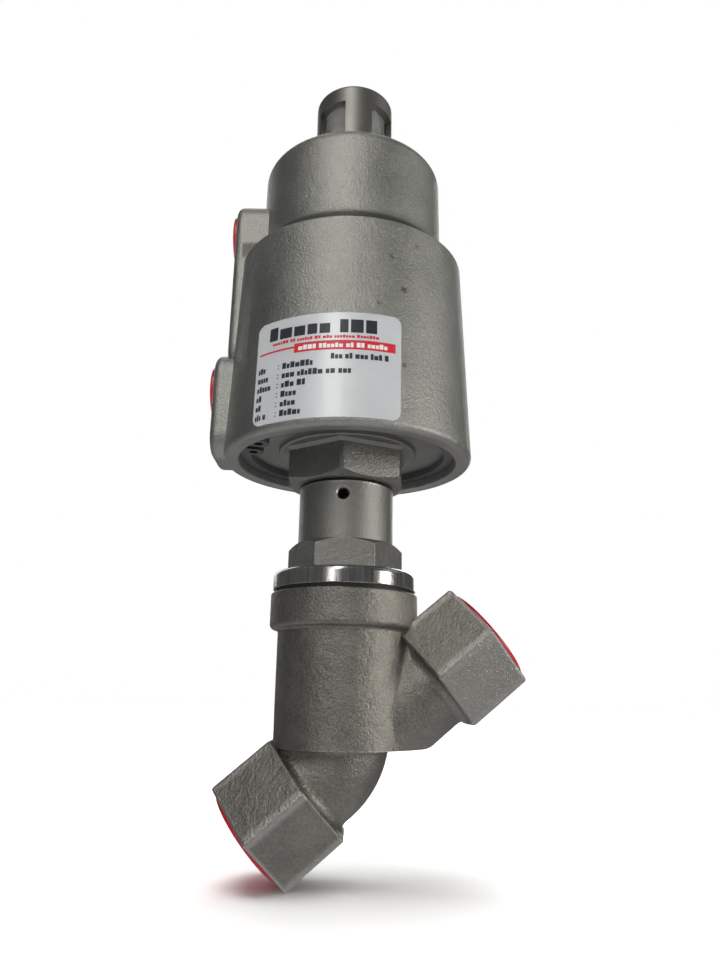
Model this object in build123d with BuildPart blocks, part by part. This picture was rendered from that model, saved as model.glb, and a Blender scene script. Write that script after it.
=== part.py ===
"""Angle-seat valve with a single-acting pneumatic piston actuator, millimetres.

The origin is the middle of the inlet thread's outer end. The flow axis rises from it in the XZ
plane, and the stem axis stands parallel to Z. A height is measured along the stem axis from the
point where the two axes cross, and a reach is measured from that same point along the flow.
"""

import os
from math import cos, radians, sin, tan

from build123d import *

os.makedirs("parts", exist_ok=True)

# Valve body and its ports
FLOW_TILT = 40
INLET_REACH = 26
OUTLET_REACH = 44.5
HEX_FLATS = 27
HEX_LENGTH = 16.4
PORT_THREAD_R = 9.316
PORT_THREAD_LENGTH = 12
MOUTH_R = 10.7
MOUTH_DEPTH = 1.8
PASSAGE_R = 7.5
ORIFICE_R = 6.5
SEAT_H = 8
FLOOR_H = 6
BARREL_R = 16
BARREL_FOOT_H = 2.3
COLLAR_R = 18
COLLAR_FOOT_H = 29.2
COLLAR_TOP_H = 37.8
BONNET_THREAD_R = 14.8
CHAMBER_R = 13.2

# Bonnet, neck and packing
BONNET_FOOT_H = 27.5
FLANGE_R = 17.55
FLANGE_FOOT_H = 38.7
FLANGE_TOP_H = 43
BONNET_FLATS = 24.8
NECK_FOOT_H = 50.1
NECK_R = 11.9
NECK_SHOULDER_H = 64.6
NECK_TOP_H = 82.6
PIVOT_R = 9.45
STUFFING_R = 7.5
NECK_BORE_R = 6.2

# Actuator
HUB_FLATS = 28
HUB_FOOT_H = 65
PLATE_FOOT_H = 75.2
PLATE_TOP_H = 80
RECESS_R = 27.8
RIM_R = 32
RIM_H = 71.3
STEP_R = 30.1
STEP_H = 125.7
TOWER_R = 24.6
TOWER_TOP_H = 156.7
PISTON_BORE_R = 25
SPRING_BORE_R = 20.6
SPRING_SEAT_H = 150.6
LOWER_PORT_H = 91
UPPER_PORT_H = 137
LOWER_PAD_X = 34.6
UPPER_PAD_X = 31.5
PAD_HALF_WIDTH = 10
AIR_THREAD_R = 4.283
AIR_THREAD_LENGTH = 5.6
AIR_MOUTH_R = 5.2
AIR_MOUTH_DEPTH = 1.5

# Stem and piston
STEM_R = 4
STEM_THREAD_R = 3
WIRE_SIDES = 12
PISTON_R = 24.65
PISTON_FOOT_H = 94
PISTON_TOP_H = 105
SPRING_FLOOR_H = 99
RUNNING = 0.05

# Indicator
CAGE_R = 11.07
CAGE_TOP_H = 182.7
CAGE_WALL = 2
WINDOW_FOOT_H = 157.5
WINDOW_TOP_H = 177.3

# The two axes
flow_x = cos(radians(FLOW_TILT))
flow_z = sin(radians(FLOW_TILT))
THREAD_REACH = INLET_REACH - MOUTH_DEPTH
STEM_X = THREAD_REACH * flow_x
CROSSING_Z = THREAD_REACH * flow_z
stem_axis = Axis((STEM_X, 0, CROSSING_Z), (0, 0, 1))
half_section = Plane(origin=(STEM_X, 0, CROSSING_Z), x_dir=(1, 0, 0), z_dir=(0, -1, 0))


def level(height):
    """The horizontal plane at a height, centred on the stem axis."""
    return Plane(origin=(STEM_X, 0, CROSSING_Z + height))


def across_flow(reach, facing=1):
    """The plane across the flow axis at a reach, with its X axis to the back."""
    along = THREAD_REACH + reach
    return Plane(
        origin=(along * flow_x, 0, along * flow_z),
        x_dir=(0, 1, 0),
        z_dir=(facing * flow_x, 0, facing * flow_z),
    )


def towards(azimuth, height, radius=0):
    """The upright plane that faces away from the stem; azimuth 0 is -Y and 90 is +X."""
    out_x = sin(radians(azimuth))
    out_y = -cos(radians(azimuth))
    return Plane(
        origin=(STEM_X + radius * out_x, radius * out_y, CROSSING_Z + height),
        x_dir=(-out_y, out_x, 0),
        z_dir=(out_x, out_y, 0),
    )


def turn(*outline, radii=None, mode=Mode.ADD):
    """Revolves an outline of (radius, height) points about the stem axis."""
    with BuildSketch(half_section) as profile:
        with BuildLine():
            if radii:
                FilletPolyline(*outline, radius=radii, close=True)
            else:
                Polyline(*outline, close=True)
        make_face()
    revolve(profile.sketch, axis=stem_axis, mode=mode)


def turn_ring(inner, outer, foot, top, mode=Mode.ADD):
    """A plain ring about the stem axis."""
    turn((inner, foot), (outer, foot), (outer, top), (inner, top), mode=mode)


def cylinder(plane, radius, length, mode=Mode.ADD):
    """A cylinder that stands on a plane."""
    with BuildSketch(plane) as circle:
        Circle(radius)
    extrude(circle.sketch, amount=length, mode=mode)


def hexagon(plane, flats, length, rotation=0, corner=0):
    """A hexagonal prism that stands on a plane, with its upright corners rounded if asked."""
    with BuildSketch(plane) as outline:
        RegularPolygon(flats / 2, 6, major_radius=False, rotation=rotation)
        if corner:
            fillet(outline.vertices(), radius=corner)
    extrude(outline.sketch, amount=length)


def save(name, piece):
    """Names a finished piece and writes it."""
    piece.part.label = name
    export_step(piece.part, f"parts/{name}.step")


# Valve body
BARREL_LENGTH = 32
LOBE_R = 11.4
LOBE_FLOOR_R = 4
CREASE_R = 3
NECK_TUBE_R = 11.4
OUTER_BEND_REACH = 6
INNER_BEND_REACH = 4.5
FLARE_R = 1.8
HEX_EDGE_R = 0.9
HEX_END_R = 0.7
NECK_MOUTH_R = 1.2
INLET_HEX_BACK = HEX_LENGTH - INLET_REACH
OUTLET_HEX_BACK = OUTLET_REACH - HEX_LENGTH
flow_axis = Axis((0, 0, 0), (flow_x, 0, flow_z))


def bent_passage(start_reach, bend_reach, radius, top, mode=Mode.ADD):
    """A round tube that follows the flow axis and bends upright about the crossing point."""
    with BuildLine(half_section) as centreline:
        bend_start = (-bend_reach * flow_x, -bend_reach * flow_z)
        Line((start_reach * flow_x, start_reach * flow_z), bend_start)
        TangentArc(bend_start, (0, bend_reach), tangent=(flow_x, flow_z))
        if top > bend_reach:
            Line((0, bend_reach), (0, top))
    with BuildSketch(across_flow(start_reach)) as section:
        Circle(radius)
    sweep(section.sketch, path=centreline.line, mode=mode)


def port_hexagon(reach):
    """A port's hexagon, with the soft edges of a casting."""
    with BuildPart() as block:
        hexagon(across_flow(reach), HEX_FLATS, HEX_LENGTH)
        fillet(block.edges().filter_by(flow_axis), radius=HEX_EDGE_R)
        ends = block.faces().sort_by(flow_axis)
        fillet(ends[0].edges() + ends[-1].edges(), radius=HEX_END_R)
    return block.part


def root_flare(reach, facing, radius):
    """A concave ring that blends a tube of a radius into the back of its hexagon."""
    section = Plane(
        origin=across_flow(reach).origin,
        x_dir=(0, 1, 0),
        z_dir=(flow_z, 0, -flow_x),
    )
    with BuildSketch(section) as profile:
        with BuildLine():
            Line((radius - 2, 0), (radius + FLARE_R, 0))
            RadiusArc((radius + FLARE_R, 0), (radius, facing * FLARE_R), facing * FLARE_R)
            Line((radius, facing * FLARE_R), (radius - 2, facing * FLARE_R))
            Line((radius - 2, facing * FLARE_R), (radius - 2, 0))
        make_face()
    revolve(profile.sketch, axis=flow_axis)


# The swelling behind the outlet hexagon has a level floor, in line with the barrel's foot.
with BuildPart() as lobe:
    cylinder(across_flow(4), LOBE_R, OUTLET_HEX_BACK - 2)
    with BuildSketch(level(BARREL_FOOT_H)) as below:
        Rectangle(100, 100)
    extrude(below.sketch, amount=-30, mode=Mode.SUBTRACT)
    floor_face = lobe.faces().sort_by(Axis.Z)[0]
    fillet(floor_face.edges().filter_by(GeomType.LINE, reverse=True), radius=LOBE_FLOOR_R)

# The outlet passage stays above the chamber's floor and clear of the raised seat.
with BuildPart() as outlet_way:
    cylinder(across_flow(6), PASSAGE_R, OUTLET_REACH - 6)
    with BuildSketch(level(FLOOR_H)) as under:
        Rectangle(60, 60)
    extrude(under.sketch, amount=-30, mode=Mode.SUBTRACT)
    turn_ring(0, 10, FLOOR_H, SEAT_H, mode=Mode.SUBTRACT)

port_hexagons = [port_hexagon(-INLET_REACH), port_hexagon(OUTLET_HEX_BACK)]

with BuildPart() as valve_body:
    # Barrel and swelling, with a soft crease between them
    cylinder(level(BARREL_FOOT_H), BARREL_R, BARREL_LENGTH)
    add(lobe.part)
    creases = valve_body.edges().filter_by(GeomType.BSPLINE).filter_by(
        lambda edge: edge.length > 15 and abs(edge.center().Y) > 6
    )
    fillet(creases, radius=CREASE_R)
    turn(
        (0, COLLAR_FOOT_H - 2),
        (BARREL_R, COLLAR_FOOT_H - 2),
        (BARREL_R, COLLAR_FOOT_H),
        (COLLAR_R, COLLAR_FOOT_H),
        (COLLAR_R, COLLAR_TOP_H),
        (0, COLLAR_TOP_H),
        radii=[0, 0, 0.8, 1.2, 0.4, 0],
    )

    # The inlet neck bends up into the barrel's foot.
    bent_passage(-12, OUTER_BEND_REACH, NECK_TUBE_R, 0)
    neck_mouth = valve_body.edges().filter_by(GeomType.BSPLINE).filter_by(
        lambda edge: edge.length > 40 and abs(edge.center().Z - CROSSING_Z - BARREL_FOOT_H) < 0.1
    )
    fillet(neck_mouth, radius=NECK_MOUTH_R)
    root_flare(INLET_HEX_BACK, 1, NECK_TUBE_R)
    root_flare(OUTLET_HEX_BACK, -1, LOBE_R)
    for block in port_hexagons:
        add(block)

    # Chamber, bonnet thread and raised seat
    turn_ring(0, CHAMBER_R, FLOOR_H, COLLAR_TOP_H - 12, mode=Mode.SUBTRACT)
    turn_ring(0, BONNET_THREAD_R, COLLAR_TOP_H - 12, COLLAR_TOP_H, mode=Mode.SUBTRACT)
    turn((ORIFICE_R, FLOOR_H - 1), (10, FLOOR_H - 1), (10, FLOOR_H), (7.4, SEAT_H), (ORIFICE_R, SEAT_H))

    add(outlet_way.part, mode=Mode.SUBTRACT)

    # Inlet passage, which bends up through the orifice
    bent_passage(-16, INNER_BEND_REACH, ORIFICE_R, SEAT_H + 1, Mode.SUBTRACT)

    # Threads and mouths of the two ports
    for face_reach, inward in ((-INLET_REACH, 1), (OUTLET_REACH, -1)):
        thread_start = face_reach + inward * MOUTH_DEPTH
        cylinder(across_flow(face_reach, inward), MOUTH_R, MOUTH_DEPTH, Mode.SUBTRACT)
        cylinder(across_flow(thread_start, inward), PORT_THREAD_R, PORT_THREAD_LENGTH, Mode.SUBTRACT)
save("valve_body", valve_body)


# Bonnet, neck and packing
with BuildPart() as body_gasket:
    turn_ring(BONNET_THREAD_R + 0.1, 17, COLLAR_TOP_H, FLANGE_FOOT_H)
save("body_gasket", body_gasket)

with BuildPart() as bonnet:
    turn(
        (0, BONNET_FOOT_H),
        (BONNET_THREAD_R - RUNNING, BONNET_FOOT_H),
        (BONNET_THREAD_R - RUNNING, FLANGE_FOOT_H),
        (FLANGE_R, FLANGE_FOOT_H),
        (FLANGE_R, FLANGE_TOP_H),
        (0, FLANGE_TOP_H),
        radii=[0, 0.6, 0, 0.2, 1.3, 0],
    )
    hexagon(level(FLANGE_TOP_H), BONNET_FLATS, NECK_FOOT_H - FLANGE_TOP_H, corner=0.5)
    # The hexagon's corners fall away above its flats.
    corner_r = BONNET_FLATS / 2 / cos(radians(30)) + 1
    corner_drop = (corner_r - 12.4) * tan(radians(35))
    turn(
        (12.4, NECK_FOOT_H),
        (corner_r, NECK_FOOT_H - corner_drop),
        (corner_r, NECK_FOOT_H + 1),
        (12.4, NECK_FOOT_H + 1),
        mode=Mode.SUBTRACT,
    )
    turn_ring(0, 6, BONNET_FOOT_H, 31, mode=Mode.SUBTRACT)
    turn_ring(0, STUFFING_R, 31, 44.5, mode=Mode.SUBTRACT)
    turn_ring(0, 8.3, 42.6, 43.7, mode=Mode.SUBTRACT)
    turn_ring(0, 10.2, 44.5, NECK_FOOT_H, mode=Mode.SUBTRACT)
save("bonnet", bonnet)

with BuildPart() as guide_bush:
    turn_ring(STEM_R + RUNNING, 5.98, BONNET_FOOT_H, 30.9)
save("guide_bush", guide_bush)

with BuildPart() as packing_spring:
    with BuildLine(level(31.6)) as packing_coil:
        Helix(pitch=1.45, height=3.1, radius=5.9)
    coil_start = Plane(origin=packing_coil.line @ 0, z_dir=packing_coil.line % 0)
    with BuildSketch(coil_start) as packing_wire:
        RegularPolygon(0.5, WIRE_SIDES)
    sweep(packing_wire.sketch, path=packing_coil.line, is_frenet=True)
save("packing_spring", packing_spring)

with BuildPart() as packing_washer:
    turn_ring(STEM_R + 0.3, STUFFING_R - RUNNING, 35.4, 36.3)
save("packing_washer", packing_washer)

# Three chevron rings nest in each other, and a flat-topped gland ring presses them down.
CHEVRON_RISE = 1.2
CHEVRON_PITCH = 1.5
middle_r = (STEM_R + STUFFING_R) / 2
with BuildPart() as packing_rings:
    for ring in range(3):
        foot = 36.35 + ring * CHEVRON_PITCH
        turn(
            (STEM_R + RUNNING, foot),
            (middle_r, foot + CHEVRON_RISE),
            (STUFFING_R - RUNNING, foot),
            (STUFFING_R - RUNNING, foot + 1.4),
            (middle_r, foot + CHEVRON_RISE + 1.4),
            (STEM_R + RUNNING, foot + 1.4),
        )
save("packing_rings", packing_rings)

with BuildPart() as gland_ring:
    turn(
        (STEM_R + 0.1, 40.85),
        (middle_r, 40.85 + CHEVRON_RISE),
        (STUFFING_R - RUNNING, 40.85),
        (STUFFING_R - RUNNING, 42.55),
        (STEM_R + 0.1, 42.55),
    )
save("gland_ring", gland_ring)

with BuildPart() as gland_circlip:
    turn_ring(5.6, 8.2, 42.6, 43.6)
    with BuildSketch(level(42.6)) as gap:
        with Locations((0, 7)):
            Rectangle(4, 6)
    extrude(gap.sketch, amount=1, mode=Mode.SUBTRACT)
save("gland_circlip", gland_circlip)

WEEP_H = 61.2
WEEP_AZIMUTH = -3
WEEP_R = 1.35
with BuildPart() as neck_tube:
    turn(
        (NECK_BORE_R, 44.6),
        (10.15, 44.6),
        (10.15, NECK_FOOT_H),
        (NECK_R, NECK_FOOT_H),
        (NECK_R, NECK_SHOULDER_H),
        (PIVOT_R, NECK_SHOULDER_H),
        (PIVOT_R, NECK_TOP_H),
        (NECK_BORE_R, NECK_TOP_H),
        radii=[0, 0.3, 0, 0.15, 0.4, 0, 0.5, 0],
    )
    turn_ring(8.05, PIVOT_R + 1, 71, 73, mode=Mode.SUBTRACT)
    turn_ring(8.6, PIVOT_R + 1, 80.3, 81.5, mode=Mode.SUBTRACT)
    with Locations(towards(WEEP_AZIMUTH, WEEP_H, NECK_R)):
        CounterSinkHole(WEEP_R, WEEP_R + 0.45, depth=NECK_R - 2)
save("neck_tube", neck_tube)

with BuildPart() as neck_o_ring:
    turn((8.1, 71.1), (PIVOT_R + 0.01, 71.1), (PIVOT_R + 0.01, 72.9), (8.1, 72.9), radii=[0.4] * 4)
save("neck_o_ring", neck_o_ring)

with BuildPart() as stem_guide:
    turn_ring(STEM_R + RUNNING, NECK_BORE_R - 0.02, 66, 76)
save("stem_guide", stem_guide)

with BuildPart() as stem_seal:
    turn(
        (STEM_R + RUNNING, 76.2),
        (NECK_BORE_R - 0.02, 76.2),
        (NECK_BORE_R - 0.02, 79.4),
        (STEM_R + RUNNING, 79.4),
        (STEM_R + RUNNING, 78.6),
        (4.7, 77.8),
        (STEM_R + RUNNING, 77),
    )
save("stem_seal", stem_seal)

with BuildPart() as swivel_ring:
    turn_ring(8.65, 11, PLATE_TOP_H + 0.35, PLATE_TOP_H + 1.45)
    with BuildSketch(level(PLATE_TOP_H)) as slot:
        with Locations((0, 10)):
            Rectangle(7, 6)
    extrude(slot.sketch, amount=2, mode=Mode.SUBTRACT)
save("swivel_ring", swivel_ring)

# Actuator
HUB_TURN = -94
HUB_CORNER_R = 1.4
HUB_TURNED_R = 13.5
HUB_SPREAD = 0.8
PAD_FOOT_H = PLATE_FOOT_H - 1.2
with BuildPart() as base_plate:
    turn_ring(0, RECESS_R - 0.2, PLATE_FOOT_H, PLATE_TOP_H)
    turn(
        (0, PLATE_FOOT_H),
        (0, PAD_FOOT_H),
        (17.8, PAD_FOOT_H),
        (17.8, PLATE_FOOT_H),
        radii=[0, 0, 0.5, 0],
    )
    hexagon(level(HUB_FOOT_H), HUB_FLATS, PLATE_FOOT_H - HUB_FOOT_H, HUB_TURN, HUB_CORNER_R)
    # The hexagon's top spreads into the pad, and its foot is turned off.
    with BuildSketch(level(PAD_FOOT_H - HUB_SPREAD)) as spread_foot:
        RegularPolygon(HUB_FLATS / 2, 6, major_radius=False, rotation=HUB_TURN)
        fillet(spread_foot.vertices(), radius=HUB_CORNER_R)
    with BuildSketch(level(PAD_FOOT_H + 0.2)) as spread_top:
        RegularPolygon(HUB_FLATS / 2 + HUB_SPREAD + 0.2, 6, major_radius=False, rotation=HUB_TURN)
        fillet(spread_top.vertices(), radius=HUB_CORNER_R)
    loft([spread_foot.sketch, spread_top.sketch], ruled=True)
    turn(
        (HUB_TURNED_R, HUB_FOOT_H),
        (18, HUB_FOOT_H + (18 - HUB_TURNED_R) * tan(radians(28))),
        (18, HUB_FOOT_H - 1),
        (HUB_TURNED_R, HUB_FOOT_H - 1),
        mode=Mode.SUBTRACT,
    )
    turn_ring(0, PIVOT_R + RUNNING, HUB_FOOT_H, PLATE_TOP_H, mode=Mode.SUBTRACT)
    turn_ring(26, RECESS_R, 76.7, 78.7, mode=Mode.SUBTRACT)
save("base_plate", base_plate)

with BuildPart() as base_o_ring:
    outer = RECESS_R - 0.02
    turn((26.05, 76.8), (outer, 76.8), (outer, 78.6), (26.05, 78.6), radii=[0.5] * 4)
save("base_o_ring", base_o_ring)

# The circlip opens at the front left, where its two eyes reach inwards.
CIRCLIP_FOOT_H = 73.5
CIRCLIP_GROOVE_R = 29
CIRCLIP_OPEN_AZIMUTH = -72
EYE_SPREAD = 8
with BuildPart() as base_circlip:
    turn_ring(25, CIRCLIP_GROOVE_R - 0.1, CIRCLIP_FOOT_H + 0.05, CIRCLIP_FOOT_H + 1.65)
    for side in (-1, 1):
        eye_azimuth = radians(CIRCLIP_OPEN_AZIMUTH + side * EYE_SPREAD)
        with BuildSketch(level(CIRCLIP_FOOT_H + 0.05)) as eye:
            with Locations((24.3 * sin(eye_azimuth), -24.3 * cos(eye_azimuth))):
                Circle(2.6)
        extrude(eye.sketch, amount=1.6)
    with BuildSketch(level(CIRCLIP_FOOT_H)) as opening:
        with Locations(Location((0, 0, 0), (0, 0, CIRCLIP_OPEN_AZIMUTH - 90))):
            with Locations((26, 0)):
                Rectangle(10, 2.2)
    extrude(opening.sketch, amount=2, mode=Mode.SUBTRACT)
    for side in (-1, 1):
        eye_azimuth = radians(CIRCLIP_OPEN_AZIMUTH + side * EYE_SPREAD)
        with BuildSketch(level(CIRCLIP_FOOT_H)) as pin_hole:
            with Locations((24.3 * sin(eye_azimuth), -24.3 * cos(eye_azimuth))):
                Circle(1.1)
        extrude(pin_hole.sketch, amount=2, mode=Mode.SUBTRACT)
save("base_circlip", base_circlip)


PAD_CORNER_R = 6


def pad(face_x, foot, top):
    """One flat-faced air port pad on the -X side, which grows out of the housing's wall."""
    face = Plane(
        origin=(STEM_X - face_x, 0, CROSSING_Z + (foot + top) / 2),
        x_dir=(0, -1, 0),
        z_dir=(-1, 0, 0),
    )
    with BuildPart() as block:
        with BuildSketch(face):
            RectangleRounded(2 * PAD_HALF_WIDTH, top - foot, PAD_CORNER_R)
        extrude(amount=-(face_x - TOWER_R + 3))
        fillet(block.faces().sort_by(Axis.X)[0].edges(), radius=2)
    return block.part


LOWER_PAD_TOP_H = 99.5
UPPER_PAD_TOP_H = 144.5
housing_pads = [
    pad(UPPER_PAD_X, 95, UPPER_PAD_TOP_H),
    pad(LOWER_PAD_X, RIM_H, LOWER_PAD_TOP_H),
]
with BuildPart() as housing:
    turn(
        (0, RIM_H),
        (RIM_R, RIM_H),
        (STEP_R, STEP_H),
        (TOWER_R + 0.1, STEP_H + 2.5),
        (TOWER_R, TOWER_TOP_H),
        (0, TOWER_TOP_H),
        radii=[0, 1.6, 0.5, 7.5, 3.4, 0],
    )
    for block in housing_pads:
        add(block)
    turn_ring(0, RECESS_R, RIM_H, PLATE_TOP_H + 0.05, mode=Mode.SUBTRACT)
    rim_edges = housing.edges().filter_by(GeomType.CIRCLE).group_by(Axis.Z)[0]
    fillet(rim_edges.sort_by(SortBy.RADIUS)[0], radius=0.7)
    turn_ring(
        0, CIRCLIP_GROOVE_R, CIRCLIP_FOOT_H, CIRCLIP_FOOT_H + 1.7, mode=Mode.SUBTRACT
    )
    turn_ring(0, PISTON_BORE_R, PLATE_TOP_H, STEP_H - 4.2, mode=Mode.SUBTRACT)
    turn_ring(0, SPRING_BORE_R, STEP_H - 4.2, SPRING_SEAT_H, mode=Mode.SUBTRACT)
    turn_ring(0, 8.6, SPRING_SEAT_H, TOWER_TOP_H, mode=Mode.SUBTRACT)
    for port_h, face_x, bore_r in (
        (LOWER_PORT_H, LOWER_PAD_X, PISTON_BORE_R),
        (UPPER_PORT_H, UPPER_PAD_X, SPRING_BORE_R),
    ):
        thread_x = face_x - AIR_MOUTH_DEPTH
        cylinder(towards(-90, port_h, face_x - AIR_MOUTH_DEPTH), AIR_MOUTH_R, 3, Mode.SUBTRACT)
        inner_x = thread_x - AIR_THREAD_LENGTH
        cylinder(towards(-90, port_h, inner_x), AIR_THREAD_R, AIR_THREAD_LENGTH, Mode.SUBTRACT)
        cylinder(towards(-90, port_h, bore_r - 2), 1.8, inner_x - bore_r + 2, Mode.SUBTRACT)
save("housing", housing)

LABEL_FOOT_H = 73
LABEL_TOP_H = 99
LABEL_AZIMUTH = -10
LABEL_HALF_WIDTH = 17.2
LABEL_THICKNESS = 0.2
wall_taper = (RIM_R - STEP_R) / (STEP_H - RIM_H)
foot_r = RIM_R - (LABEL_FOOT_H - RIM_H) * wall_taper + 0.02
top_r = RIM_R - (LABEL_TOP_H - RIM_H) * wall_taper + 0.02
with BuildPart() as nameplate:
    turn(
        (foot_r, LABEL_FOOT_H),
        (foot_r + LABEL_THICKNESS, LABEL_FOOT_H),
        (top_r + LABEL_THICKNESS, LABEL_TOP_H),
        (top_r, LABEL_TOP_H),
    )
    label_front = towards(LABEL_AZIMUTH, (LABEL_FOOT_H + LABEL_TOP_H) / 2, 10)
    with BuildSketch(label_front) as label_outline:
        RectangleRounded(2 * LABEL_HALF_WIDTH, LABEL_TOP_H - LABEL_FOOT_H, 2)
    extrude(label_outline.sketch, amount=30, mode=Mode.INTERSECT)
save("nameplate", nameplate)

# Stem, disc and piston
with BuildPart() as stem:
    turn(
        (0, 2.8),
        (STEM_THREAD_R, 2.8),
        (STEM_THREAD_R, 16),
        (STEM_R, 16),
        (STEM_R, PISTON_FOOT_H),
        (STEM_THREAD_R, PISTON_FOOT_H),
        (STEM_THREAD_R, 112),
        (0, 112),
        radii=[0, 0.4, 0, 0.3, 0.3, 0, 0.4, 0],
    )
save("stem", stem)

with BuildPart() as disc_holder:
    turn(
        (STEM_THREAD_R, 10.6),
        (9.4, 10.6),
        (9.4, 13),
        (6.5, 16),
        (STEM_THREAD_R, 16),
        radii=[0, 0.4, 0.8, 0.6, 0],
    )
save("disc_holder", disc_holder)

with BuildPart() as disc_seal:
    turn_ring(STEM_THREAD_R, 9, SEAT_H, 10.6)
save("disc_seal", disc_seal)

with BuildPart() as disc_washer:
    turn_ring(STEM_THREAD_R, 5.6, 6.8, SEAT_H)
save("disc_washer", disc_washer)

with BuildPart() as disc_nut:
    hexagon(level(3.6), 9, 3.2)
    turn_ring(0, STEM_THREAD_R, 3.6, 6.8, mode=Mode.SUBTRACT)
save("disc_nut", disc_nut)

SEAL_GROOVE_R = 21.8
GUIDE_GROOVE_R = 23.4
with BuildPart() as piston:
    turn(
        (STEM_THREAD_R, PISTON_FOOT_H),
        (PISTON_R, PISTON_FOOT_H),
        (PISTON_R, PISTON_TOP_H),
        (20.4, PISTON_TOP_H),
        (20.4, SPRING_FLOOR_H),
        (8.5, SPRING_FLOOR_H),
        (8.5, PISTON_TOP_H),
        (STEM_THREAD_R, PISTON_TOP_H),
        radii=[0, 0.8, 0.6, 0.3, 0.5, 0.5, 0.5, 0],
    )
    turn_ring(SEAL_GROOVE_R, PISTON_BORE_R, 95.4, 98.6, mode=Mode.SUBTRACT)
    turn_ring(GUIDE_GROOVE_R, PISTON_BORE_R, 100.4, 103.6, mode=Mode.SUBTRACT)
save("piston", piston)

with BuildPart() as piston_seal:
    lip_r = PISTON_BORE_R - RUNNING
    turn(
        (SEAL_GROOVE_R, 95.45),
        (23, 95.45),
        (23.6, 96.6),
        (24.3, 95.45),
        (lip_r, 95.45),
        (lip_r, 96.4),
        (24.5, 98.5),
        (SEAL_GROOVE_R, 98.5),
    )
save("piston_seal", piston_seal)

with BuildPart() as piston_guide:
    turn_ring(GUIDE_GROOVE_R, PISTON_BORE_R - RUNNING, 100.45, 103.55)
save("piston_guide", piston_guide)

with BuildPart() as piston_washer:
    turn_ring(STEM_THREAD_R, 7, PISTON_TOP_H, PISTON_TOP_H + 1.2)
save("piston_washer", piston_washer)

with BuildPart() as piston_nut:
    hexagon(level(PISTON_TOP_H + 1.2), 10, 4)
    turn_ring(0, STEM_THREAD_R, PISTON_TOP_H, PISTON_TOP_H + 6, mode=Mode.SUBTRACT)
save("piston_nut", piston_nut)

# Two closing springs stand in the piston's cup and bear on the housing's top.
for name, coil_r, wire_r, turns in (
    ("outer_spring", 17, 1.5, 7),
    ("inner_spring", 11.2, 1.1, 9),
):
    coil_height = SPRING_SEAT_H - SPRING_FLOOR_H - 2 * wire_r - 0.3
    with BuildPart() as spring:
        with BuildLine(level(SPRING_FLOOR_H + wire_r + 0.15)) as coil:
            Helix(pitch=coil_height / turns, height=coil_height, radius=coil_r)
        wire_start = Plane(origin=coil.line @ 0, z_dir=coil.line % 0)
        with BuildSketch(wire_start) as wire:
            RegularPolygon(wire_r, WIRE_SIDES)
        sweep(wire.sketch, path=coil.line, is_frenet=True)
    save(name, spring)

# Position indicator
with BuildPart() as indicator_cage:
    turn(
        (0, SPRING_SEAT_H),
        (8.55, SPRING_SEAT_H),
        (8.55, TOWER_TOP_H),
        (CAGE_R, TOWER_TOP_H),
        (CAGE_R, CAGE_TOP_H),
        (0, CAGE_TOP_H),
        radii=[0, 0.4, 0, 0.3, 1.2, 0],
    )
    turn_ring(0, CAGE_R - CAGE_WALL, WINDOW_FOOT_H, CAGE_TOP_H - 2.5, mode=Mode.SUBTRACT)
    turn_ring(0, 4.2, SPRING_SEAT_H, WINDOW_FOOT_H, mode=Mode.SUBTRACT)
    window_width = 2 * CAGE_R * sin(radians(25))
    for quarter in range(4):
        with BuildSketch(towards(-38 + 90 * quarter, WINDOW_FOOT_H)) as window:
            with Locations((0, (WINDOW_TOP_H - WINDOW_FOOT_H) / 2)):
                Rectangle(window_width, WINDOW_TOP_H - WINDOW_FOOT_H)
        extrude(window.sketch, amount=CAGE_R + 1, mode=Mode.SUBTRACT)
save("indicator_cage", indicator_cage)

with BuildPart() as window_sleeve:
    turn_ring(7.7, CAGE_R - CAGE_WALL - RUNNING, WINDOW_FOOT_H, 179)
save("window_sleeve", window_sleeve)

with BuildPart() as rod_o_ring:
    turn_ring(2.55, 4.15, 152, 154)
save("rod_o_ring", rod_o_ring)

with BuildPart() as indicator_rod:
    turn(
        (0, 112.2),
        (2.5, 112.2),
        (2.5, 159),
        (6.9, 159),
        (6.9, 167),
        (0, 167),
        radii=[0, 0.3, 0, 0.3, 1.5, 0],
    )
save("indicator_rod", indicator_rod)

# Transport caps
CAP_R = 12.6
CAP_CROWN = 0.9
for name, reach, outward in (
    ("inlet_cap", -INLET_REACH, -1),
    ("outlet_cap", OUTLET_REACH, 1),
):
    with BuildPart() as cap:
        cylinder(across_flow(reach, outward), CAP_R, CAP_CROWN)
        outward_axis = Axis((0, 0, 0), (outward * flow_x, 0, outward * flow_z))
        fillet(cap.edges().filter_by(GeomType.CIRCLE).sort_by(outward_axis)[-1], 0.6)
        cylinder(across_flow(reach, -outward), MOUTH_R - 0.1, MOUTH_DEPTH - 0.4)
    save(name, cap)

PLUG_R = 7
PLUG_HEAD = 1.2
for name, port_h, face_x in (
    ("lower_air_plug", LOWER_PORT_H, LOWER_PAD_X),
    ("upper_air_plug", UPPER_PORT_H, UPPER_PAD_X),
):
    with BuildPart() as plug:
        cylinder(towards(-90, port_h, face_x), PLUG_R, PLUG_HEAD)
        fillet(plug.edges().filter_by(GeomType.CIRCLE).sort_by(Axis.X)[0], 0.5)
        stub = AIR_MOUTH_DEPTH - 0.3
        cylinder(towards(-90, port_h, face_x - stub), AIR_MOUTH_R - 0.1, stub)
    save(name, plug)
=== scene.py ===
import math
import random

import bmesh
import bpy
from mathutils import Euler, Matrix, Vector


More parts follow.
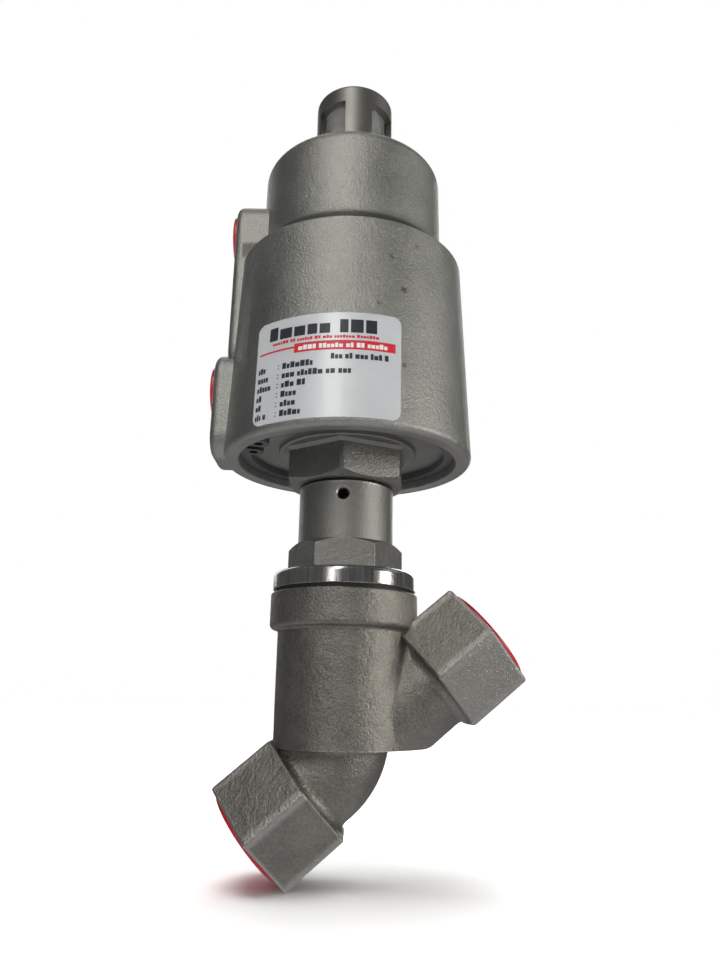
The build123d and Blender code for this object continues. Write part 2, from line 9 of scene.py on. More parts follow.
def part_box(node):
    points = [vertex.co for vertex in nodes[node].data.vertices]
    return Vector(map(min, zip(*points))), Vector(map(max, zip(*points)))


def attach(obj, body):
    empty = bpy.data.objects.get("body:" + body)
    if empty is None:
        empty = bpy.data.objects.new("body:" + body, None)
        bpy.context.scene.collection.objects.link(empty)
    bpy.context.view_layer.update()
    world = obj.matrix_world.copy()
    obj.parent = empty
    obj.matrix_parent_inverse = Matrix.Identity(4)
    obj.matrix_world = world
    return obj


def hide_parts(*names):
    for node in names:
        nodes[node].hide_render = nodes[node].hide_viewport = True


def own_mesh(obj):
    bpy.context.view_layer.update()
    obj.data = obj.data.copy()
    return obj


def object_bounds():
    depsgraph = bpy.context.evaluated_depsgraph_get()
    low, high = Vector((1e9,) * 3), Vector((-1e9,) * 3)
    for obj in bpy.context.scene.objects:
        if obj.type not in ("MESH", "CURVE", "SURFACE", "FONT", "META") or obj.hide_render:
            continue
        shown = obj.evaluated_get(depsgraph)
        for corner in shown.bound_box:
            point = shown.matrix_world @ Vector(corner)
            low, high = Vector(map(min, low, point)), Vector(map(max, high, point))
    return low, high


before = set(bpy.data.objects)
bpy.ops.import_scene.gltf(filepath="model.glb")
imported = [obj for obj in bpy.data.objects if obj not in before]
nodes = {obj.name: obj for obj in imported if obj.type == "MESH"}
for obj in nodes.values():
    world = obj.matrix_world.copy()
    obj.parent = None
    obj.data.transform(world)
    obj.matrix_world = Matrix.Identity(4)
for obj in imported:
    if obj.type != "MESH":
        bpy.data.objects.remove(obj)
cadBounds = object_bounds()
scene = bpy.context.scene
print("frame loaded,", len(nodes), "nodes")

# where things are, all in metres
mm = 0.001
neckLow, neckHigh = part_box("neck_tube")
stemX = (neckLow.x + neckHigh.x) / 2
labelLow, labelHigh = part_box("nameplate")
flowTilt = math.radians(40)

# the camera looks up at the valve from a little above the floor
cameraSetup = dict(place=(0.021669, -0.188896, 0.028812), turn=(106.115, -0.933, -0.354), lens=28.5)
cameraData = bpy.data.cameras.new("camera")
cameraData.lens = cameraSetup["lens"]
cameraData.clip_start = 0.01
camera = bpy.data.objects.new("camera", cameraData)
camera.location = cameraSetup["place"]
camera.rotation_euler = Euler([math.radians(a) for a in cameraSetup["turn"]], "XYZ")
scene.collection.objects.link(camera)
scene.camera = camera
scene.view_settings.view_transform = "Standard"
print("camera placed")


class Wire:  # one output socket, and arithmetic on it adds Math nodes
    def __init__(self, bench, socket):
        self.bench = bench
        self.socket = socket

    def calc(self, operation, *values):
        return self.bench.node("ShaderNodeMath", dict(operation=operation), dict(enumerate(values)))

    def __add__(self, other):
        return self.calc("ADD", self, other)

    def __sub__(self, other):
        return self.calc("SUBTRACT", self, other)

    def __rsub__(self, other):
        return self.calc("SUBTRACT", other, self)

    def __mul__(self, other):
        return self.calc("MULTIPLY", self, other)

    def __pow__(self, other):
        return self.calc("POWER", self, other)

    __radd__ = __add__
    __rmul__ = __mul__

    def most(self, other):
        return self.calc("MAXIMUM", self, other)

    # 0 below low, 1 above high, smooth between
    def rise(self, low, high):
        return self.bench.node(
            "ShaderNodeMapRange",
            dict(interpolation_type="SMOOTHSTEP"),
            {0: self, 1: low, 2: high, 3: 0.0, 4: 1.0},
        )

    # 1 between low and high, with edges this soft
    def within(self, low, high, soft):
        return self.rise(low - soft, low + soft) * (1 - self.rise(high - soft, high + soft))


class Bench:  # a node tree being wired
    def __init__(self, tree):
        self.tree = tree
        tree.nodes.clear()

    def node(self, kind, settings=None, inputs=None, out=0):
        made = self.tree.nodes.new(kind)
        for key, value in (settings or {}).items():
            if key == "stops":
                ramp = made.color_ramp.elements
                while len(ramp) < len(value):
                    ramp.new(0.5)
                for stop, (place, shade) in zip(ramp, value):
                    stop.position = place
                    stop.color = (*shade, 1)
            else:
                setattr(made, key, value)
        for key, value in (inputs or {}).items():
            if isinstance(value, Wire):
                self.tree.links.new(value.socket, made.inputs[key])
            else:
                made.inputs[key].default_value = value
        return Wire(self, made.outputs[out]) if made.outputs else made

    def also(self, wire, out):
        return Wire(self, wire.socket.node.outputs[out])

    def mixColour(self, share, first, second):
        first = first if isinstance(first, Wire) else (*first, 1)
        second = second if isinstance(second, Wire) else (*second, 1)
        return self.node(
            "ShaderNodeMix",
            dict(data_type="RGBA", clamp_factor=True),
            {0: share, 6: first, 7: second},
            2,
        )

    def vector(self, operation, *values, out=0):
        settings = dict(operation=operation)
        return self.node("ShaderNodeVectorMath", settings, dict(enumerate(values)), out)

    def joined(self, first, second, third=0.0):
        return self.node("ShaderNodeCombineXYZ", None, {0: first, 1: second, 2: third})


class Finish(Bench):  # a material with one main shader
    def __init__(self, name):
        self.material = bpy.data.materials.new(name)
        self.material.use_nodes = True
        super().__init__(self.material.node_tree)
        self.place = self.node("ShaderNodeTexCoord", out="Object")

    # the place seen along turned axes, in millimetres
    def placed(self, centre=(0, 0, 0), turn=(0, 0, 0), scale=(1, 1, 1)):
        moved = self.vector("SUBTRACT", self.place, centre)
        return self.node(
            "ShaderNodeMapping",
            dict(vector_type="POINT"),
            {"Vector": moved, "Rotation": turn, "Scale": [s / mm for s in scale]},
        )

    def axes(self, vector):
        split = self.node("ShaderNodeSeparateXYZ", inputs={0: vector})
        return split, self.also(split, 1), self.also(split, 2)

    # height, and radius from the stem's axis, in millimetres
    def about(self):
        x, y, z = self.axes(self.placed((stemX, 0, 0)))
        return z, (x * x + y * y) ** 0.5

    def noise(self, vector, size, detail=2.0, rough=0.5):
        return self.node(
            "ShaderNodeTexNoise",
            dict(noise_dimensions="3D"),
            {"Vector": vector, "Scale": 1 / size, "Detail": detail, "Roughness": rough},
        )

    # how sharply the surface turns near here, 0 on a flat
    def edges(self, reach, low=0.02, high=0.25):
        rounded = self.node("ShaderNodeBevel", dict(samples=4), {"Radius": reach * mm})
        true = self.node("ShaderNodeNewGeometry", out="Normal")
        agree = self.vector("DOT_PRODUCT", rounded, true, out=1)
        return (1 - agree).rise(low, high)

    def bumps(self, height, depth, under=None, strength=1.0):
        inputs = {"Height": height, "Distance": depth * mm, "Strength": strength}
        if under:
            inputs["Normal"] = under
        return self.node("ShaderNodeBump", None, inputs)

    def shine(self, **inputs):
        names = {"colour": "Base Color", "metal": "Metallic", "rough": "Roughness",
                 "normal": "Normal", "coat": "Coat Weight", "alpha": "Alpha"}
        values = {}
        for key, value in inputs.items():
            if key == "colour" and not isinstance(value, Wire):
                value = (*value, 1)
            values[names[key]] = value
        surface = self.node("ShaderNodeBsdfPrincipled", None, values)
        self.node("ShaderNodeOutputMaterial", None, {"Surface": surface})
        return self.material


# cast faces, blasted to an even grain; sizes and depths in millimetres
castLook = dict(
    housing=dict(
        colour=(0.655, 0.66, 0.63), shade=(0.49, 0.495, 0.47), worn=(0.84, 0.84, 0.81),
        rough=0.43, grain=0.45, grainDepth=0.19, peel=1.5, peelDepth=0.11, fleck=2.4,
        edge=0.4, rubbed=0.8, polish=0.08,
    ),
    body=dict(
        colour=(0.50, 0.485, 0.445), shade=(0.31, 0.30, 0.275), worn=(0.74, 0.725, 0.69),
        rough=0.46, grain=0.55, grainDepth=0.20, peel=1.9, peelDepth=0.18, fleck=2.3,
        edge=0.6, rubbed=0.9, polish=0.1,
    ),
    hub=dict(
        colour=(0.50, 0.50, 0.475), shade=(0.35, 0.35, 0.33), worn=(0.66, 0.65, 0.62),
        rough=0.46, grain=0.48, grainDepth=0.15, peel=1.5, peelDepth=0.12, fleck=2.0,
        edge=0.4, rubbed=0.8, polish=0.1,
    ),
    neck=dict(
        colour=(0.56, 0.56, 0.535), shade=(0.42, 0.42, 0.395), worn=(0.68, 0.67, 0.64),
        rough=0.45, grain=0.40, grainDepth=0.13, peel=0.9, peelDepth=0.03, fleck=1.8,
        edge=0.3, rubbed=0.85, polish=0.15,
    ),
)
broadPatches = 9.0


def castGrain(finish, look, strength=1.0):
    point = finish.placed()
    fine = finish.noise(point, look["grain"], 3.0, 0.65)
    peel = finish.noise(point, look["peel"])
    broad = finish.noise(point, broadPatches, 3.0, 0.6)
    tone = (broad - 0.5) * 1.5 + (fine - 0.5) * look["fleck"] + 0.5
    colour = finish.mixColour(tone, look["shade"], look["colour"])
    normal = finish.bumps(peel, look["peelDepth"], strength=strength)
    normal = finish.bumps(fine, look["grainDepth"], normal, strength)
    rough = look["rough"] + (broad - 0.5) * 0.14 + (fine - 0.5) * 0.16
    return colour, rough, normal, point, broad, fine


# a casting whose edges are rubbed bright in patches
def wornCasting(finish, look):
    colour, rough, normal, point, broad, fine = castGrain(finish, look)
    worn = finish.edges(look["edge"]) * (0.35 + broad * 0.9)
    colour = finish.mixColour(worn * look["rubbed"], colour, look["worn"])
    return colour, rough - worn * look["polish"], normal, point, broad, fine


# all heights and places on the housing in millimetres
housingMarks = dict(
    hollow=(142.0, 146.4),
    hollowSoft=0.8,
    hollowReach=(30.6, 31.2),
    # colour of the painted shade in the hollow at the tower's foot
    hollowShade=(0.13, 0.13, 0.12),
    tint=(0.16, 0.125, 0.09),
    spots=[
        dict(at=(28.8, -29.2, 131.1), size=1.0, dark=0.85),
        dict(at=(31.8, -28.0, 122.5), size=1.2, dark=0.7),
        dict(at=(25.8, -30.4, 117.8), size=0.9, dark=0.6),
        dict(at=(31.7, -28.8, 102.7), size=0.9, dark=0.65),
        dict(at=(35.0, -25.7, 136.0), size=0.7, dark=0.6),
    ],
)


def castHousing():
    finish = Finish("blastedCasting")
    colour, rough, normal, point, broad, fine = wornCasting(finish, castLook["housing"])
    # painted shade darkens the hollow at the tower's foot, but not the pad
    z, radius = finish.about()
    low, high = housingMarks["hollow"]
    wall = 1 - radius.rise(*housingMarks["hollowReach"])
    hollowShade = z.within(low, high, housingMarks["hollowSoft"]) * wall * (0.55 + broad * 0.4)
    colour = finish.mixColour(hollowShade, colour, housingMarks["hollowShade"])
    # oil spots on the right of the wall
    for spot in housingMarks["spots"]:
        away = finish.vector("DISTANCE", point, spot["at"], out=1)
        ragged = away + (fine - 0.5) * spot["size"] * 1.4
        stain = (1 - ragged.rise(spot["size"] * 0.35, spot["size"])) * spot["dark"]
        colour = finish.mixColour(stain, colour, housingMarks["tint"])
    return finish.shine(colour=colour, metal=1.0, rough=rough, normal=normal)


# places along the flow, and reach from the flow's axis, in millimetres
hexagons = dict(
    inletFace=-1.8,
    inletBack=14.6,
    outletBack=52.3,
    outletFace=68.7,
    corner=15.5,
    cornerWear=(-0.9, -0.3),
    endWear=(-3.6, -2.6),
    endDepth=(0.5, 1.1),
    offCollar=(18.1, 18.4),
    barrelFoot=(17.4, 17.8),
)
groundFace = dict(
    faces=(math.sin(flowTilt) * 0.5, -math.cos(math.radians(30)), -math.cos(flowTilt) * 0.5),
    agree=(0.90, 0.97),
    starts=(52.3, 53.0),
    colour=(0.70, 0.685, 0.65),
    stretch=0.06,
    scratch=0.22,
    depth=0.02,
)


def castBody():
    look = castLook["body"]
    finish = Finish("roughCasting")
    colour, rough, normal, _, broad, fine = wornCasting(finish, look)
    # corners and end edges of the two hexagons are rubbed bright
    along, across, up = finish.axes(finish.placed(turn=(0, flowTilt, 0)))
    reach = (across * across + up * up) ** 0.5
    z, radius = finish.about()
    shallow, deep = hexagons["endDepth"]
    onHexagon = 1 - along.within(hexagons["inletBack"], hexagons["outletBack"], 0.3)
    offBarrel = radius.rise(*hexagons["offCollar"]).most(1 - z.rise(*hexagons["barrelFoot"]))
    corner = reach.rise(*[hexagons["corner"] + step for step in hexagons["cornerWear"]])
    inletEnd = 1 - along.rise(hexagons["inletFace"] + shallow, hexagons["inletFace"] + deep)
    outletEnd = along.rise(hexagons["outletFace"] - deep, hexagons["outletFace"] - shallow)
    rim = reach.rise(*[hexagons["corner"] + step for step in hexagons["endWear"]])
    bare = (corner * onHexagon * offBarrel).most(inletEnd.most(outletEnd) * rim)
    rubbed = bare * (0.25 + broad + (fine - 0.5) * 1.2)
    colour = finish.mixColour(rubbed, colour, look["worn"])
    # the outlet hexagon's lower front face is ground, with scratches along the flow
    lengthwise = finish.joined(along * groundFace["stretch"], across, up)
    scratch = finish.noise(lengthwise, groundFace["scratch"], 3.0, 0.7)
    true = finish.node("ShaderNodeNewGeometry", out="Normal")
    facing = finish.vector("DOT_PRODUCT", true, groundFace["faces"], out=1)
    ground = facing.rise(*groundFace["agree"]) * along.rise(*groundFace["starts"])
    colour = finish.mixColour(ground * (0.35 + scratch * 0.6), colour, groundFace["colour"])
    rough = rough - ground * 0.10 + ground * (scratch - 0.5) * 0.25
    normal = finish.bumps(scratch, groundFace["depth"], normal, ground)
    return finish.shine(colour=colour, metal=1.0, rough=rough, normal=normal)


def castHub():
    finish = Finish("hubCasting")
    colour, rough, normal = wornCasting(finish, castLook["hub"])[:3]
    return finish.shine(colour=colour, metal=1.0, rough=rough, normal=normal)


# heights and places on the neck in millimetres; the weep hole is turned a little to the left
weepTurn = math.radians(-3)
neckMarks = dict(
    lip=(79.5, 80.2),
    weep=(stemX / mm + 11.9 * math.sin(weepTurn), -11.9 * math.cos(weepTurn), 76.756),
    weepRing=(1.2, 1.95),
    ringWidth=0.5,
)


# a blasted tube with faint rings, a bright lip and a bright ring round its weep hole
def neckTube():
    look = castLook["neck"]
    finish = Finish("blastedNeck")
    colour, rough, normal, point = castGrain(finish, look)[:4]
    z, radius = finish.about()
    rings = finish.noise(finish.joined(radius, z), neckMarks["ringWidth"], 2.0, 0.6)
    lip = z.within(*neckMarks["lip"], 0.1)
    away = finish.vector("DISTANCE", point, neckMarks["weep"], out=1)
    ring = away.within(*neckMarks["weepRing"], 0.12)
    worn = (finish.edges(look["edge"]) * 0.5).most(lip).most(ring)
    colour = finish.mixColour((rings - 0.5) * 0.5 + 0.25, colour, look["shade"])
    colour = finish.mixColour(worn * look["rubbed"], colour, look["worn"])
    rough = rough - worn * look["polish"]
    return finish.shine(colour=colour, metal=1.0, rough=rough, normal=normal)


# the flange's heights in millimetres, and its turned steel with painted reflection streaks
bonnetMarks = dict(
    foot=54.256,
    top=58.556,
    dark=(0.38, 0.38, 0.37),
    bright=(0.84, 0.84, 0.82),
    reflectionStreak=1.1,
    edge=0.5,
)


# the flange is turned bright and carries painted vertical reflection streaks, and its hexagon keeps
# the grain of the casting
def bonnetSteel():
    look = castLook["hub"]
    finish = Finish("bonnetSteel")
    z = finish.about()[0]
    turned = z.within(bonnetMarks["foot"] - 0.2, bonnetMarks["top"] + 0.1, 0.1)
    colour, rough, normal, _, broad, _ = castGrain(finish, look, 1 - turned * 0.9)
    worn = finish.edges(bonnetMarks["edge"]) * (0.6 + broad)
    colour = finish.mixColour(worn * 0.9, colour, look["worn"])
    # bright and dark vertical streaks painted on the flange stand in for reflections
    upright = finish.placed(scale=(1, 1, 0.05))
    reflectionStreak = finish.noise(upright, bonnetMarks["reflectionStreak"], 3.0, 0.7)
    contrast = (reflectionStreak - 0.5) * 1.9 + 0.5
    bright = finish.mixColour(contrast, bonnetMarks["dark"], bonnetMarks["bright"])
    colour = finish.mixColour(turned, colour, bright)
    rough = rough * (1 - turned) + turned * (0.10 + reflectionStreak * 0.2)
    return finish.shine(colour=colour, metal=1.0, rough=rough, normal=normal)


# turned faces carry rings left by the tool
turnedLook = dict(
    turned=dict(
        colour=(0.42, 0.415, 0.40), dark=(0.33, 0.325, 0.31), rough=0.46, ring=0.16, depth=0.006
    ),
    zinc=dict(
        colour=(0.56, 0.57, 0.58), dark=(0.42, 0.43, 0.44), rough=0.3, ring=0.3, depth=0.006
    ),
    alloy=dict(
        colour=(0.66, 0.66, 0.65), dark=(0.55, 0.55, 0.54), rough=0.3, ring=0.2, depth=0.008
    ),
    bronze=dict(
        colour=(0.52, 0.35, 0.17), dark=(0.40, 0.26, 0.12), rough=0.4, ring=0.3, depth=0.006
    ),
)


def turnedMetal(name, kind):
    look = turnedLook[kind]
    finish = Finish(name)
    z, radius = finish.about()
    cut = finish.noise(finish.joined(radius, z), look["ring"], 2.0, 0.6)
    smear = finish.noise(finish.placed(), 4.0, 3.0, 0.6)
    colour = finish.mixColour(cut * 0.5 + smear * 0.5, look["dark"], look["colour"])
    rough = look["rough"] + (smear - 0.5) * 0.16 + (cut - 0.5) * 0.08
    colour = finish.mixColour(finish.edges(0.15) * 0.5, colour, [c * 1.25 for c in look["colour"]])
    normal = finish.bumps(cut, look["depth"])
    return finish.shine(colour=colour, metal=1.0, rough=rough, normal=normal)


def plainMetal(name, colour, dark, rough):
    finish = Finish(name)
    point = finish.placed()
    smear = finish.noise(point, 2.5, 3.0, 0.6)
    fine = finish.noise(point, 0.25, 2.0, 0.6)
    tone = finish.mixColour(smear, dark, colour)
    return finish.shine(colour=tone, metal=1.0, rough=rough + (smear - 0.5) * 0.15,
                        normal=finish.bumps(fine, 0.008))


plasticLook = dict(
    sealRubber=dict(
        colour=(0.022, 0.022, 0.022), dark=(0.014, 0.014, 0.015), rough=0.55, coat=0.0,
        grain=0.3, depth=0.01,
    ),
    sealPlastic=dict(
        colour=(0.80, 0.79, 0.75), dark=(0.70, 0.69, 0.65), rough=0.45, coat=0.1,
        grain=0.3, depth=0.01,
    ),
    redCap=dict(
        colour=(0.55, 0.012, 0.03), dark=(0.45, 0.01, 0.022), rough=0.32, coat=0.3,
        grain=0.8, depth=0.02,
    ),
    indicatorPlastic=dict(
        colour=(0.55, 0.55, 0.53), dark=(0.47, 0.47, 0.45), rough=0.45, coat=0.1,
        grain=0.3, depth=0.01,
    ),
)


def softPlastic(name):
    look = plasticLook[name]
    finish = Finish(name)
    point = finish.placed()
    smear = finish.noise(point, 5.0, 3.0, 0.6)
    fine = finish.noise(point, look["grain"], 2.0, 0.6)
    tone = finish.mixColour(smear, look["dark"], look["colour"])
    rough = look["rough"] + (smear - 0.5) * 0.15
    normal = finish.bumps(fine, look["depth"])
    return finish.shine(colour=tone, rough=rough, coat=look["coat"], normal=normal)


labelLook = dict(
    colour=(0.68, 0.70, 0.72), dark=(0.58, 0.60, 0.625), metal=0.25, rough=0.38, coat=0.25,
    smear=6.0, weave=0.35, depth=0.004,
)


def labelFilm():
    look = labelLook
    finish = Finish("labelFilm")
    point = finish.placed()
    smear = finish.noise(point, look["smear"], 3.0, 0.6)
    weave = finish.noise(point, look["weave"], 2.0, 0.6)
    tone = finish.mixColour(smear, look["dark"], look["colour"])
    rough = look["rough"] + (smear - 0.5) * 0.1
    normal = finish.bumps(weave, look["depth"])
    return finish.shine(
        colour=tone, metal=look["metal"], rough=rough, coat=look["coat"], normal=normal
    )


sleeveLook = dict(
    colour=(0.48, 0.48, 0.46), dark=(0.32, 0.32, 0.30), rough=0.28, haze=3.0,
    clearest=0.20, cloudy=0.30,
)


def clearSleeve():
    look = sleeveLook
    finish = Finish("hazySleeve")
    haze = finish.noise(finish.placed(), look["haze"], 3.0, 0.6)
    tone = finish.mixColour(haze, look["dark"], look["colour"])
    rough = look["rough"] + (haze - 0.5) * 0.2
    return finish.shine(colour=tone, rough=rough, alpha=look["clearest"] + haze * look["cloudy"])


def ink(name, colour):
    finish = Finish(name)
    smear = finish.noise(finish.placed(), 0.8, 3.0, 0.6)
    tone = finish.mixColour(smear, [c * 0.8 for c in colour], [c * 1.15 for c in colour])
    return finish.shine(colour=tone, rough=0.35 + (smear - 0.5) * 0.1)


finishes = dict(
    body_casting=castBody(),
    housing_casting=castHousing(),
    hub_casting=castHub(),
    turned_steel=turnedMetal("turnedSteel", "turned"),
    neck_steel=bonnetSteel(),
    spring_steel=plainMetal("springSteel", (0.34, 0.34, 0.35), (0.2, 0.2, 0.21), 0.35),
    zinc_steel=turnedMetal("zincSteel", "zinc"),
    piston_alloy=turnedMetal("pistonAlloy", "alloy"),
    seal_rubber=softPlastic("sealRubber"),
    ptfe=softPlastic("sealPlastic"),
    bronze=turnedMetal("bronzeBush", "bronze"),
    red_cap=softPlastic("redCap"),
    label=labelFilm(),
    indicator=softPlastic("indicatorPlastic"),
    clear_sleeve=clearSleeve(),
)
ownFinishes = dict(neck_tube=neckTube())
for name, node in nodes.items():
    for slot in node.material_slots:
        slot.material = ownFinishes.get(name) or finishes[slot.material.name.split(".")[0]]
print("finishes:", len(finishes))

# printing on the label, as bars and blocks, with sizes in millimetres and turns in degrees;
# across runs from 0 at the left edge to 1, and down from 0 at the top
printing = dict(
    middle=-10.0,
    halfTurn=32.4,
    turnRadius=32,
    topRadius=31.06 + 0.22,
    footRadius=31.94 + 0.22,
    lift=0.012,
    overLift=0.03,
    thick=0.03,
    step=1.2,
    letters=dict(count=(2, 7), wide=(0.55, 1.0), drops=(0.0, 0.22, 0.26), gap=0.17, space=0.5),
    title=dict(across=(0.10, 0.89), down=(0.070, 0.20), letter=3.5, seed=41),
    side=dict(across=(0.55, 0.95), down=(0.40, 0.455), letter=1.0, seed=3),
    tag=dict(across=(0.13, 0.86), down=(0.222, 0.252), letter=0.8, seed=5),
    barWords=dict(across=(0.33, 0.94), down=(0.30, 0.345), letter=1.1, seed=7),
    bar=dict(across=(0.30, 0.97), down=(0.275, 0.365)),
    rule=dict(across=(0.02, 0.30), down=(0.300, 0.318)),
    rows=dict(
        first=0.445, step=0.090, tall=0.058, left=(0.02, 0.15), colon=0.185, right=0.22,
        dots=(0.2, 0.75), dotWide=0.009, dotTall=0.011,
        ends=(0.46, 0.68, 0.40, 0.37, 0.36, 0.39), starts=(0.10, 0.12, 0.16, 0.07, 0.07, 0.12),
        leftLetter=0.9, leftSeed=10, rightLetter=1.15, rightSeed=20,
    ),
)
labelTall = (labelHigh.z - labelLow.z) / mm
labelWide = 2 * math.radians(printing["halfTurn"]) * printing["turnRadius"]


def block(sheet, across, down, lift=0.0):
    wide = (across[1] - across[0]) * labelWide
    tall = (down[1] - down[0]) * labelTall
    centre = (
        (across[0] + across[1]) / 2 * labelWide,
        -(down[0] + down[1]) / 2 * labelTall,
        lift,
    )
    parts = max(1, round(wide / printing["step"]))
    placing = Matrix.Translation(centre) @ Matrix.Diagonal((wide, tall, 1, 1))
    bmesh.ops.create_grid(sheet, x_segments=parts, y_segments=1, size=0.5, matrix=placing)


# words of two to seven letters, some as tall as the line and most a little lower
def wording(sheet, across, down, letter, seed, lift=0.0):
    letters = printing["letters"]
    dice = random.Random(seed)
    at = across[0]
    while at < across[1]:
        for _ in range(dice.randint(*letters["count"])):
            wide = letter * dice.uniform(*letters["wide"]) / labelWide
            if at + wide > across[1]:
                break
            top = down[0] + (down[1] - down[0]) * dice.choice(letters["drops"])
            block(sheet, (at, at + wide), (top, down[1]), lift)
            at += wide + letter * letters["gap"] / labelWide
        at += letter * letters["space"] / labelWide


def stick(sheet, name, inkName):
    bmesh.ops.solidify(sheet, geom=sheet.faces[:], thickness=printing["thick"])
    start = math.radians(printing["middle"] - printing["halfTurn"])
    for vert in sheet.verts:
        share = -vert.co.y / labelTall
        slope = (printing["footRadius"] - printing["topRadius"]) * share
        radius = printing["topRadius"] + slope + printing["lift"] + vert.co.z
        turn = start + vert.co.x / printing["turnRadius"]
        height = labelHigh.z / mm + vert.co.y
        vert.co = (stemX / mm + radius * math.sin(turn), -radius * math.cos(turn), height)
    bmesh.ops.scale(sheet, vec=(mm, mm, mm), verts=sheet.verts)
    bmesh.ops.recalc_face_normals(sheet, faces=sheet.faces)
    mesh = bpy.data.meshes.new(name)
    sheet.to_mesh(mesh)
    sheet.free()
    mesh.materials.append(inkName)
    piece = bpy.data.objects.new(name, mesh)
    scene.collection.objects.link(piece)
    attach(piece, "actuator")
    return piece


def printLabel():
    rows = printing["rows"]
    dark = bmesh.new()
    wording(dark, **printing["title"])
    wording(dark, **printing["side"])
    for row in range(len(rows["ends"])):
        top = rows["first"] + row * rows["step"]
        down = (top, top + rows["tall"])
        left = (rows["left"][0], rows["starts"][row])
        right = (rows["right"], rows["ends"][row])
        wording(dark, left, down, rows["leftLetter"], rows["leftSeed"] + row)
        for dot in rows["dots"]:
            middle = top + rows["tall"] * dot
            across = (rows["colon"], rows["colon"] + rows["dotWide"])
            block(dark, across, (middle, middle + rows["dotTall"]))
        wording(dark, right, down, rows["rightLetter"], rows["rightSeed"] + row)
    red = bmesh.new()
    block(red, **printing["bar"])
    block(red, **printing["rule"])
    wording(red, **printing["tag"])
    white = bmesh.new()
    wording(white, **printing["barWords"], lift=printing["overLift"])
    stick(dark, "label_dark_print", ink("darkInk", (0.025, 0.03, 0.04)))
    stick(red, "label_red_print", ink("redInk", (0.58, 0.03, 0.045)))
    stick(white, "label_white_print", ink("whiteInk", (0.80, 0.80, 0.80)))


printLabel()
print("label printed")


# the closing springs sit under the housing's top; each is copied onto the actuator and its CAD node
# hidden
closingSprings = dict(lift=0.009, names=("outer_spring", "inner_spring"))


def closingSpring(name):
    piece = bpy.data.objects.new(name + "_coils", nodes[name].data.copy())
    scene.collection.objects.link(piece)
    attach(piece, "actuator")
    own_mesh(piece)
    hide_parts(name)


for name in closingSprings["names"]:
    closingSpring(name)
print("springs ready")


# a wide pale floor under the lowest corner of the inlet hexagon, and softboxes named by
# where they stand; turns and rises in degrees, the rest in metres and watts
studio = dict(
    floorRadius=4.0,
    floorGap=0.0002,
    floorTone=(0.88, 0.88, 0.88),
    floorSun=3.9,
    sunSpread=50,
    underTone=0.42,
    sideTone=0.085,
    overTone=0.10,
    lights=dict(
        frontBox=dict(
            turn=-14, rise=38, away=1.0, size=(0.26, 0.80), power=2.05, tint=(1.0, 0.965, 0.91)
        ),
        frontStrip=dict(
            turn=-19, rise=9, away=1.0, size=(0.10, 0.26), power=0.35, tint=(1.0, 0.98, 0.95)
        ),
        rightBox=dict(
            turn=68, rise=2, away=0.9, size=(0.26, 0.40), power=1.9, tint=(1.0, 0.965, 0.90)
        ),
        rightFill=dict(
            turn=95, rise=38, away=1.2, size=(0.7, 0.6), power=0.35, tint=(1.0, 0.99, 0.96)
        ),
        topBox=dict(
            turn=180, rise=55, away=1.4, size=(0.8, 0.8), power=3.0, tint=(1.0, 1.0, 1.0)
        ),
        backBox=dict(
            turn=165, rise=25, away=1.2, size=(0.5, 0.9), power=4.0, tint=(1.0, 0.99, 0.97)
        ),
        backLeftBox=dict(
            turn=-150, rise=25, away=1.2, size=(0.4, 0.8), power=1.2, tint=(1.0, 0.99, 0.97)
        ),
    ),
)


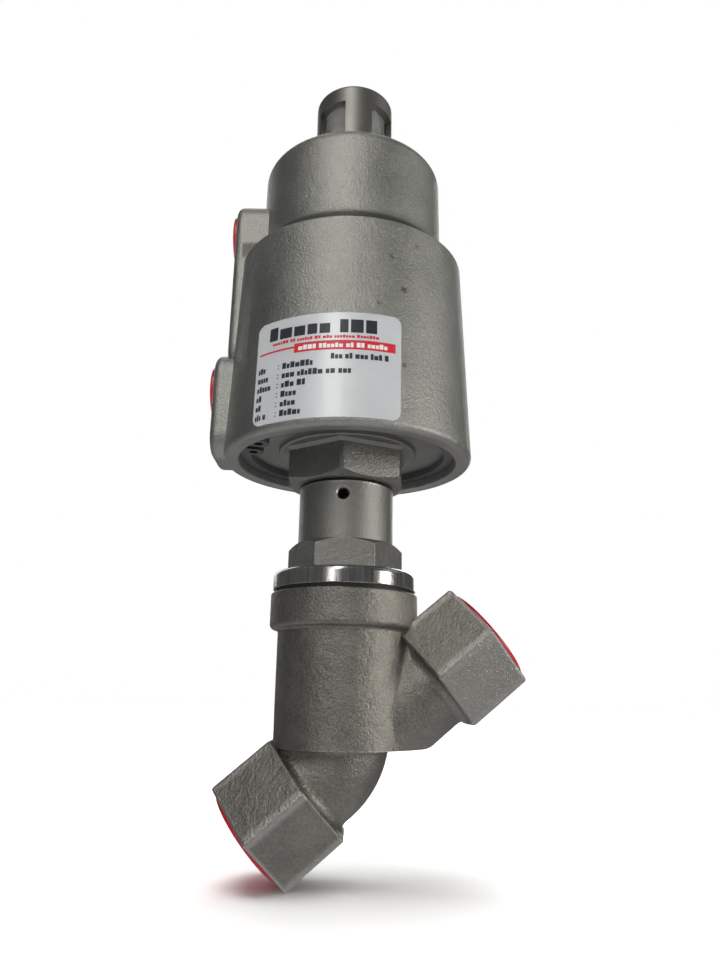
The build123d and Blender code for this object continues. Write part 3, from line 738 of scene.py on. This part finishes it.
def makeFloor():
    plane = bmesh.new()
    bmesh.ops.create_circle(plane, cap_ends=True, segments=96, radius=studio["floorRadius"])
    place = (stemX, 0, cadBounds[0].z - studio["floorGap"])
    bmesh.ops.translate(plane, vec=place, verts=plane.verts)
    bmesh.ops.recalc_face_normals(plane, faces=plane.faces)
    mesh = bpy.data.meshes.new("floor")
    plane.to_mesh(mesh)
    plane.free()
    floor = bpy.data.objects.new("floor", mesh)
    scene.collection.objects.link(floor)
    paint = Finish("floorPaint")
    speckle = paint.noise(paint.placed(), 60.0, 2.0, 0.5)
    tone = paint.mixColour(speckle, [c * 0.98 for c in studio["floorTone"]], studio["floorTone"])
    mesh.materials.append(paint.shine(colour=tone, rough=0.9))
    floor.visible_glossy = False
    floor.visible_shadow = False
    # a sun for the floor alone keeps it even out to the horizon
    sunData = bpy.data.lights.new("floorSun", "SUN")
    sunData.energy = studio["floorSun"]
    sunData.angle = math.radians(studio["sunSpread"])
    sun = bpy.data.objects.new("floorSun", sunData)
    scene.collection.objects.link(sun)
    lit = bpy.data.collections.new("floorOnly")
    lit.objects.link(floor)
    sun.light_linking.receiver_collection = lit


def softbox(name, look, aim):
    data = bpy.data.lights.new(name, "AREA")
    data.shape = "RECTANGLE"
    data.size, data.size_y = look["size"]
    data.energy = look["power"]
    data.color = look["tint"]
    lamp = bpy.data.objects.new(name, data)
    turn = math.radians(look["turn"])
    rise = math.radians(look["rise"])
    flat = math.cos(rise)
    out = Vector((math.sin(turn) * flat, -math.cos(turn) * flat, math.sin(rise)))
    lamp.location = aim + out * look["away"]
    lamp.rotation_euler = out.to_track_quat("Z", "Y").to_euler()
    scene.collection.objects.link(lamp)


def makeRoom():
    world = bpy.data.worlds.new("room")
    world.use_nodes = True
    scene.world = world
    room = Bench(world.node_tree)
    seen = room.node("ShaderNodeLightPath", out="Is Camera Ray")
    around = room.node("ShaderNodeTexCoord", out="Generated")
    split = room.node("ShaderNodeSeparateXYZ", inputs={0: around})
    up = room.also(split, 2)
    tone = room.node("ShaderNodeValToRGB", dict(stops=[
        (0.0, [studio["underTone"]] * 3),
        (0.42, [studio["sideTone"]] * 3),
        (0.62, [studio["sideTone"]] * 3),
        (1.0, [studio["overTone"]] * 3),
    ]), {0: up * 0.5 + 0.5})
    glow = room.node("ShaderNodeBackground", None, {"Color": tone, "Strength": 1.0})
    plain = room.node("ShaderNodeBackground", None, {"Color": (1, 1, 1, 1), "Strength": 1.0})
    both = room.node("ShaderNodeMixShader", None, {0: seen, 1: glow, 2: plain})
    room.node("ShaderNodeOutputWorld", None, {"Surface": both})


makeFloor()
makeRoom()
middle = (cadBounds[0] + cadBounds[1]) / 2
for name, look in studio["lights"].items():
    softbox(name, look, middle)
print("studio ready")
